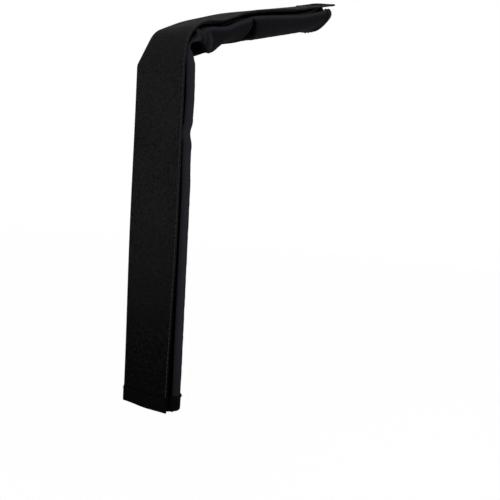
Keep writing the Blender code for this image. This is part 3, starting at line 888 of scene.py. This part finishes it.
under_points, under_across = underlap_surface(body_rows)
under_arc = np.broadcast_to(BODY_GIRTH + GROOVE_ACROSS - under_across, under_points.shape[:2])
under_faces = thick(under_points)
underlaps = layer_pieces(
    "underlap_canvas", body_rows, under_faces, under_arc, BODY_CANVAS, "underlap", "canvas", "underlap"
)

# Beside the groove the underlap is darkened: painted shade in the gap under the flap's edge
SHADED_PLACES = (0.0200, 0.0280)
SHADED_STRENGTH = 0.85
shaded = SHADED_STRENGTH * ramp(under_across, SHADED_PLACES)
shaded = np.broadcast_to(shaded, under_points.shape[:2])
for zone, part in zones(body_rows).items():
    add_painted_light(underlaps[zone], 0.0, shaded[part])


# Flap
# The wide outer end of the canvas. It turns over the left fold and lies flat on the front, in
# three lengths, cut where the two end lengths would peel open from the ends.
FOLD_COLUMNS = 6
FLAP_COLUMNS = 52
FLAP_RIPPLE_SHARE = 0.6
FLAP_CALM_SHARE = 0.25
FLAP_END_ROWS = 57
FLAP_TONES = ((0.0022, 0.0022, 0.0023), (0.0196, 0.0196, 0.0203))
FLAP_WEAVE_DEPTH = 0.00012
FLAP_SHINE = 0.009


def flap_section(stations):
    """Across and depth of the flap: straight from its free edge, then a quarter turn down."""
    station = stations[:, None]
    run = np.linspace(1.0, 0.0, FLAP_COLUMNS)[None, :]
    straight = FOLD_RADIUS + (flap_width(station) - FOLD_RADIUS) * run
    turn = np.linspace(0.0, math.pi / 2.0, FOLD_COLUMNS)[None, 1:]
    rounded = np.broadcast_to(FOLD_RADIUS * (1.0 - np.sin(turn)), (len(station), FOLD_COLUMNS - 1))
    across = np.concatenate((straight, rounded), axis=1)
    sunk = np.broadcast_to(FOLD_RADIUS * (1.0 - np.cos(turn)), rounded.shape)
    return across, np.concatenate((np.zeros_like(straight), sunk), axis=1)


def flap_surface(stations):
    """Points of the flap's outer face, with low ripples away from the fold."""
    across, depth = flap_section(stations)
    station = stations[:, None]
    points = flap_layer(station, across, depth)
    from_fold = across / SLEEVE_WIDTH
    height = ripple(station, across) * FLAP_RIPPLE_SHARE * smooth(from_fold / FLAP_CALM_SHARE)
    return points + grid_normals(points) * height[..., None], across


FLAP_CANVAS = cloth_material(
    "black_flap_canvas", *FLAP_TONES, roughness=0.66, depth=FLAP_WEAVE_DEPTH, shine=FLAP_SHINE
)
flap_rows = row_stations(ARM_LENGTH, FLAP_END_ROWS)
flap_points, flap_across = flap_surface(flap_rows)
flaps = layer_pieces(
    "flap_canvas", flap_rows, thick(flap_points), -flap_across, FLAP_CANVAS, "flap", "canvas", "flap"
)


# Hook strip and loop strip
# Two woven tapes that close the sleeve: stiff hooks sewn along the underlap's outer face, and
# fuzzy loops sewn under the flap.
STRIP_START = 0.0085
HOOK_END = 0.0290
HOOK_DEPTHS = (0.0021, 0.0031)
LOOP_DEPTHS = (0.0010, 0.0019)
LOOP_EDGE_SETBACK = 0.0040
STRIP_COLUMNS = 24
STRIP_END_SETBACK = 0.0088

PILE_SHINE = 0.05
PILE_BUMP = 0.8
PILE_ROUGHNESS_SWING = 0.1
TANGLE_SHARE = 1.7
HOOK_PILE_DEPTH = 0.0005
LOOP_PILE_DEPTH = 0.0004


def pile_material(name, dark, pale, scale, stretch, randomness, roughness, depth, sheen):
    """Hook or loop pile: a lattice of small lumps for hooks, or tangled noise for loops."""
    constants = {"Specular IOR Level": PILE_SHINE, "Sheen Weight": sheen, "Sheen Roughness": 0.5}
    material, tree, shader = new_material(name, constants)
    spread = {"Vector": flat_place(tree), "Scale": (stretch, 1.0, 1.0)}
    spot = add_node(tree, "ShaderNodeMapping", spread).outputs[0]
    cells = {"Scale": scale, "Randomness": randomness, "Vector": spot}
    lumps = add_node(tree, "ShaderNodeTexVoronoi", cells).outputs["Distance"]
    tangle = add_noise(tree, scale * TANGLE_SHARE, 3.0, spot)
    height = add_maths(tree, "SUBTRACT", tangle, lumps)
    tone = add_tint(tree, lumps, (*pale, 1.0), (*dark, 1.0))
    roughnesses = (roughness - PILE_ROUGHNESS_SWING, roughness + PILE_ROUGHNESS_SWING)
    feed_shader(tree, shader, tone, tangle, roughnesses, height, PILE_BUMP, depth)
    return material


HOOKS = pile_material(
    "hook_pile",
    dark=(0.0020, 0.0020, 0.0020),
    pale=(0.011, 0.011, 0.0115),
    scale=1100.0,
    stretch=1.0,
    randomness=0.45,
    roughness=0.42,
    depth=HOOK_PILE_DEPTH,
    sheen=0.0,
)
LOOPS = pile_material(
    "loop_pile",
    dark=(0.0035, 0.0035, 0.0035),
    pale=(0.016, 0.016, 0.0165),
    scale=900.0,
    stretch=0.6,
    randomness=1.0,
    roughness=0.85,
    depth=LOOP_PILE_DEPTH,
    sheen=0.1,
)

strip_rows = np.clip(body_rows, -LEG_LENGTH + STRIP_END_SETBACK, BODY_END - STRIP_END_SETBACK)
strip_rows = np.unique(strip_rows)


def strip_pieces(suffix, layer, end, depths, *facts):
    """The three lengths of a flat strip on a layer, as far across as end, between two depths."""
    share = np.linspace(1.0, 0.0, STRIP_COLUMNS)[None, :]
    across = STRIP_START + (end - STRIP_START) * share
    faces = [layer(strip_rows[:, None], across, depth) for depth in depths]
    arc = np.broadcast_to(across, faces[0].shape[:2])
    return layer_pieces(suffix, strip_rows, faces, arc, *facts)


hooks = strip_pieces(
    "hook_tape", under_layer, HOOK_END, HOOK_DEPTHS, HOOKS, "underlap", "hooks", "hook_strip"
)
loop_end = flap_width(strip_rows)[:, None] - LOOP_EDGE_SETBACK
loops = strip_pieces(
    "loop_tape", flap_layer, loop_end, LOOP_DEPTHS, LOOPS, "flap", "loops", "loop_strip"
)


# Flap edge binding
# A narrow woven tape folded round the flap's free edge and stitched through. It makes the thin
# raised line beside the dark groove.
EDGE_BAND_WIDTH = 0.0034
EDGE_BAND_THICKNESS = 0.00018
EDGE_BAND_BACK_DEPTH = 0.0009
EDGE_BAND_CLEARANCE = 0.00002
EDGE_NOSE_POINTS = 7
BINDING = cloth_material(
    "black_binding", *FLAP_TONES, roughness=0.62, depth=WEAVE_DEPTH, shine=FLAP_SHINE
)


def nose_profile(width, low, high, points):
    """A U as distance from the edge and depth: in along the front, round the nose, back behind."""
    middle = (low + high) / 2.0
    radius = (high - low) / 2.0
    turn = np.linspace(-math.pi / 2.0, math.pi / 2.0, points)
    straight = np.array((-width, -width * MIDDLE_SHARE))
    reach = np.concatenate((straight, radius * np.cos(turn), straight[::-1]))
    depth = np.concatenate(([low, low], middle + radius * np.sin(turn), [high, high]))
    return reach, depth


def edge_band(stations, clearance):
    """One face of the binding: its U carried along the flap's edge."""
    back = EDGE_BAND_BACK_DEPTH + clearance
    reach, depth = nose_profile(EDGE_BAND_WIDTH, -clearance, back, EDGE_NOSE_POINTS)
    station = stations[:, None]
    across = flap_width(station) + reach[::-1]
    rise = flap_rise(station, np.minimum(across, flap_width(station)))
    return place(station + hang(station, across), across, depth[::-1] - rise)


band_rows = np.clip(flap_rows, -LEG_LENGTH + STRIP_END_SETBACK, ARM_LENGTH - STRIP_END_SETBACK)
band_rows = np.unique(band_rows)
band_faces = [edge_band(band_rows, gap) for gap in (EDGE_BAND_THICKNESS, EDGE_BAND_CLEARANCE)]
band_shape = band_faces[0].shape[:2]
band_arc = np.broadcast_to(np.linspace(0.0, 2.0 * EDGE_BAND_WIDTH, band_shape[1]), band_shape)
bands = layer_pieces(
    "flap_edge_binding", band_rows, band_faces, band_arc, BINDING, "flap", "binding", "flap_edge_tape"
)


# End bindings
# Wider tapes folded over the raw ends of the body, the flap and the underlap, so that the
# doubled cloth does not fray.
END_BAND_WIDTH = 0.0086
END_BAND_THICKNESS = 0.00040
END_BAND_CLEARANCE = 0.00003
END_NOSE_POINTS = 9
BODY_DOUBLE = 0.0018
STATION_STEP = 1e-7


def spread_rows(face, stations):
    """Points and normals of a face at stations in any order; the face itself needs rising ones."""
    order = np.argsort(stations, kind="stable")
    points = face(stations[order] + np.arange(len(stations)) * STATION_STEP)
    back = np.argsort(order, kind="stable")
    return points[back], grid_normals(points)[back]


def end_band(name, face, raw, inward, doubled, arc):
    """A U folded over a raw end: each point is one of the face, moved inwards to the U's depth."""
    sides = []
    for clearance in (END_BAND_THICKNESS, END_BAND_CLEARANCE):
        reach, depth = nose_profile(END_BAND_WIDTH, -clearance, doubled + clearance, END_NOSE_POINTS)
        points, normals = spread_rows(face, raw - inward * reach)
        sides.append((points - normals * depth[:, None, None])[::-inward])
    station = np.cumsum(np.full(len(sides[0]), END_BAND_THICKNESS))[:, None]
    return shell(name, *sides, station, arc, BINDING)


def body_face(stations):
    """Points of the body's outer face."""
    return body_surface(stations)[0]


def flap_face(stations):
    """Points of the flap's outer face without its ripples."""
    return flap_layer(stations[:, None], *flap_section(stations))


def underlap_face(stations):
    """Points of the underlap's outer face."""
    return underlap_surface(stations)[0]


# Each kind of raw end: its name, what it rides on, its face, where it ends on the arm, how thick
# the cloth is there, and the places round it at the leg's and the arm's end
END_KINDS = (
    ("body", "body", body_face, BODY_END, BODY_DOUBLE, (BODY_ARC, BODY_ARC)),
    ("flap", "flap_body", flap_face, ARM_LENGTH, CANVAS_THICKNESS, (flap_across[0], flap_across[-1])),
    ("underlap", "underlap_body", underlap_face, BODY_END, CANVAS_THICKNESS, (under_arc[0], under_arc[0])),
)
ENDS = [
    (f"{zone}_{kind}", f"{zone}_{body}", face, raw, inward, doubled, arc)
    for kind, body, face, arm_end, doubled, arcs in END_KINDS
    for zone, raw, inward, arc in zip(("leg", "arm"), (-LEG_LENGTH, arm_end), (1, -1), arcs)
]
for name, body, face, raw, inward, doubled, arc in ENDS:
    item = end_band(f"{name}_binding", face, raw, inward, doubled, arc)
    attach(item, body)
    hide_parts(f"{name}_end_tape")


# Stitching
# Black polyester thread in rows of short lockstitches: along the flap's edge binding, and along
# the inner border of each end binding, thicker where it goes through the doubled body.
STITCH_LENGTH = 0.0029
STITCH_PITCH = 0.0031
STITCH_RADIUS = 0.00022
BODY_STITCH_RADIUS = 0.00038
STITCH_SIDES = 6
STITCH_RINGS = 5
STITCH_NARROWING = 0.75
STITCH_DIP = 1.6
EDGE_STITCH_SETBACK = 0.0003
END_STITCH_SETBACK = 0.0076

# Steps to both sides of a stitch line, which give the cloth's normals there
EDGE_STEPS = np.array((0.0004, 0.0, -0.0004))
END_STEPS = np.array((-0.0005, 0.0, 0.0005))

THREAD_SHINE = 0.05
THREAD_ROUGHNESSES = (0.42, 0.56)
THREAD_BUMP = 0.4
TWIST_SCALE = 900.0
TWIST_DEPTH = 0.00005


def thread_material(name, dark, pale):
    """Twisted thread: fine slanting bands in the colour and the bump."""
    material, tree, shader = new_material(name, {"Specular IOR Level": THREAD_SHINE})
    spot = add_node(tree, "ShaderNodeTexCoord", {}).outputs["Object"]
    bands = {"Scale": TWIST_SCALE, "Distortion": 1.0, "Vector": spot}
    twist = add_node(tree, "ShaderNodeTexWave", bands, bands_direction="DIAGONAL")
    tone = add_tint(tree, twist.outputs["Color"], (*dark, 1.0), (*pale, 1.0))
    height = twist.outputs["Fac"]
    feed_shader(tree, shader, tone, height, THREAD_ROUGHNESSES, height, THREAD_BUMP, TWIST_DEPTH)
    return material


# The edge thread is far paler than the hem thread: a painted highlight along the flap's edge
EDGE_THREAD_PAINTED_HIGHLIGHT = thread_material("edge_thread_painted_highlight", (0.026, 0.026, 0.027), (0.048, 0.048, 0.050))
HEM_THREAD = thread_material("black_hem_thread", (0.0014, 0.0014, 0.0014), (0.0030, 0.0030, 0.0032))


def stitch_shape(thread_radius):
    """Points of one stitch and its faces: a thread that dips into the cloth at both ends.

    Rings lie along a low parabola, and their radius narrows towards the ends.
    """
    run = np.linspace(-1.0, 1.0, STITCH_RINGS)
    turn = np.arange(STITCH_SIDES) * 2.0 * math.pi / STITCH_SIDES
    radius = thread_radius * np.sqrt(1.0 - STITCH_NARROWING * run**2)
    lift = thread_radius * (1.0 - STITCH_DIP * run**2)
    along = np.repeat(run * STITCH_LENGTH / 2.0, STITCH_SIDES)
    aside = (radius[:, None] * np.cos(turn)).ravel()
    above = (lift[:, None] + radius[:, None] * np.sin(turn)).ravel()
    index = np.arange(STITCH_RINGS * STITCH_SIDES).reshape(STITCH_RINGS, STITCH_SIDES)
    after = np.roll(index, -1, axis=1)
    walls = np.stack((index[:-1], after[:-1], after[1:], index[1:]), axis=-1).reshape(-1, 4)
    caps = np.stack((index[0][::-1], index[-1]))
    return np.stack((along, aside, above), axis=-1), walls, caps


def stitches(name, line, normals, material, thread_radius):
    """A row of stitches at even steps along a line of points with normals."""
    arc = running_sum(np.linalg.norm(np.diff(line, axis=0), axis=1))
    count = int(arc[-1] / STITCH_PITCH)
    spots = (np.arange(count) + MIDDLE_SHARE) * arc[-1] / count
    centre, up, along = [
        np.stack([np.interp(spots, arc, column) for column in values.T], axis=-1)
        for values in (line, normals, np.gradient(line, arc, axis=0))
    ]
    along = unit(along)
    axes = np.stack((along, np.cross(up, along), up), axis=1)
    shape, walls, caps = stitch_shape(thread_radius)
    points = (centre[:, None] + shape @ axes).reshape(-1, 3)
    first = (np.arange(count) * len(shape))[:, None, None]
    sides, ends = [(part + first).reshape(-1, part.shape[1]).tolist() for part in (walls, caps)]
    item = new_item(name, points.tolist(), sides + ends, material)
    return item


def edge_stitch_line(stations):
    """Line of the edge stitching on the binding, with the flap's normals there."""
    station = stations[:, None]
    across = flap_width(station) - EDGE_STITCH_SETBACK + EDGE_STEPS
    points = flap_layer(station, across, -EDGE_BAND_THICKNESS)
    return points[:, 1], grid_normals(points)[:, 1]


for zone, part in zones(band_rows).items():
    line, up = edge_stitch_line(band_rows[part])
    item = stitches(f"{zone}_edge_stitches", line, up, EDGE_THREAD_PAINTED_HIGHLIGHT, STITCH_RADIUS)
    peel(item, zone)

for name, body, face, raw, inward, doubled, _ in ENDS:
    points, normals = spread_rows(face, raw + inward * (END_STITCH_SETBACK + END_STEPS))
    line = points[1] + normals[1] * END_BAND_THICKNESS
    thread_radius = BODY_STITCH_RADIUS if doubled == BODY_DOUBLE else STITCH_RADIUS
    item = stitches(f"{name}_end_stitches", line, normals[1], HEM_THREAD, thread_radius)
    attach(item, body)


# Stage, lights and camera
# A white floor and sky stand for the photograph's plain background; two soft lamps and the sky
# light the black cloth at a plain level.
FLOOR_HEIGHT = -0.45
FLOOR_SIZE = 6.0
FLOOR_COLOUR = (0.82, 0.82, 0.82, 1.0)
FLOOR_ROUGHNESS = 0.9
FLOOR_GLOW = 0.45
SKY_LIGHT = 0.62
WHITE = (1.0, 1.0, 1.0, 1.0)


def floor():
    """A flat white sheet under the sleeve; to the camera it glows a little, so that it is white."""
    half = FLOOR_SIZE / 2.0
    corners = [(-half, -half), (half, -half), (half, half), (-half, half)]
    points = [(x, y, FLOOR_HEIGHT) for x, y in corners]
    constants = {"Base Color": FLOOR_COLOUR, "Roughness": FLOOR_ROUGHNESS, "Emission Color": WHITE}
    material, tree, shader = new_material("white_floor", constants)
    seen = add_node(tree, "ShaderNodeLightPath", {}).outputs["Is Camera Ray"]
    tree.links.new(add_maths(tree, "MULTIPLY", seen, FLOOR_GLOW), shader.inputs["Emission Strength"])
    new_item("stage_floor", points, [(0, 1, 2, 3)], material)


def sky():
    """Soft even light; seen straight or in a reflection it is plain white."""
    world = bpy.data.worlds.new("studio")
    bpy.context.scene.world = world
    world.use_nodes = True
    tree = world.node_tree
    tree.nodes.clear()
    light = add_node(tree, "ShaderNodeBackground", {"Color": WHITE, "Strength": SKY_LIGHT})
    white = add_node(tree, "ShaderNodeBackground", {"Color": WHITE, "Strength": 1.0})
    path = add_node(tree, "ShaderNodeLightPath", {})
    seen = path.outputs["Is Camera Ray"]
    for ray in ("Is Glossy Ray", "Is Transmission Ray"):
        seen = add_maths(tree, "MAXIMUM", seen, path.outputs[ray])
    mix = add_node(tree, "ShaderNodeMixShader", {0: seen, 1: light.outputs[0], 2: white.outputs[0]})
    add_node(tree, "ShaderNodeOutputWorld", {"Surface": mix.outputs[0]})


LAMPS = (
    ("key", (-0.75, -0.35, 0.75), (-0.10, 0.0, -0.02), 0.55, 0.6),
    ("side", (-0.80, -0.75, 0.05), (-0.12, 0.0, -0.08), 0.45, 1.2),
)


def stand(name, data, position, *axes):
    """Sets up a lamp or camera at a position, turned to its three axes."""
    item = bpy.data.objects.new(name, data)
    turn = Matrix(np.transpose(axes).tolist()).to_4x4()
    item.matrix_world = Matrix.Translation(position) @ turn
    bpy.context.scene.collection.objects.link(item)
    return item


def lamp(name, position, target, size, power):
    """One square soft lamp that faces its target."""
    data = bpy.data.lights.new(name, "AREA")
    data.size = size
    data.energy = power
    away = unit(np.array(position) - np.array(target))
    right = unit(np.cross((0.0, 0.0, 1.0), away))
    stand(name, data, position, right, np.cross(away, right), away)


CAMERA_SPOT = (-0.588355, -0.27135, -0.105766)
CAMERA_YAW = 0.429816
CAMERA_PITCH = -0.091472
CAMERA_ROLL = 0.054489
CAMERA_LENS = 59.05
CAMERA_SENSOR = 36.0


def camera():
    """The photograph's view: yaw from +X, pitch above the level, and a slight roll."""
    data = bpy.data.cameras.new("camera")
    data.lens = CAMERA_LENS
    data.sensor_width = CAMERA_SENSOR
    data.sensor_height = CAMERA_SENSOR
    level = math.cos(CAMERA_PITCH)
    ahead = np.array((math.cos(CAMERA_YAW) * level, math.sin(CAMERA_YAW) * level, math.sin(CAMERA_PITCH)))
    right = unit(np.cross(ahead, (0.0, 0.0, 1.0)))
    up = np.cross(right, ahead)
    turned_right = math.cos(CAMERA_ROLL) * right + math.sin(CAMERA_ROLL) * up
    turned_up = -math.sin(CAMERA_ROLL) * right + math.cos(CAMERA_ROLL) * up
    bpy.context.scene.camera = stand("camera", data, CAMERA_SPOT, turned_right, turned_up, -ahead)


floor()
sky()
for spot in LAMPS:
    lamp(*spot)
camera()
bpy.context.scene.view_settings.view_transform = "Standard"
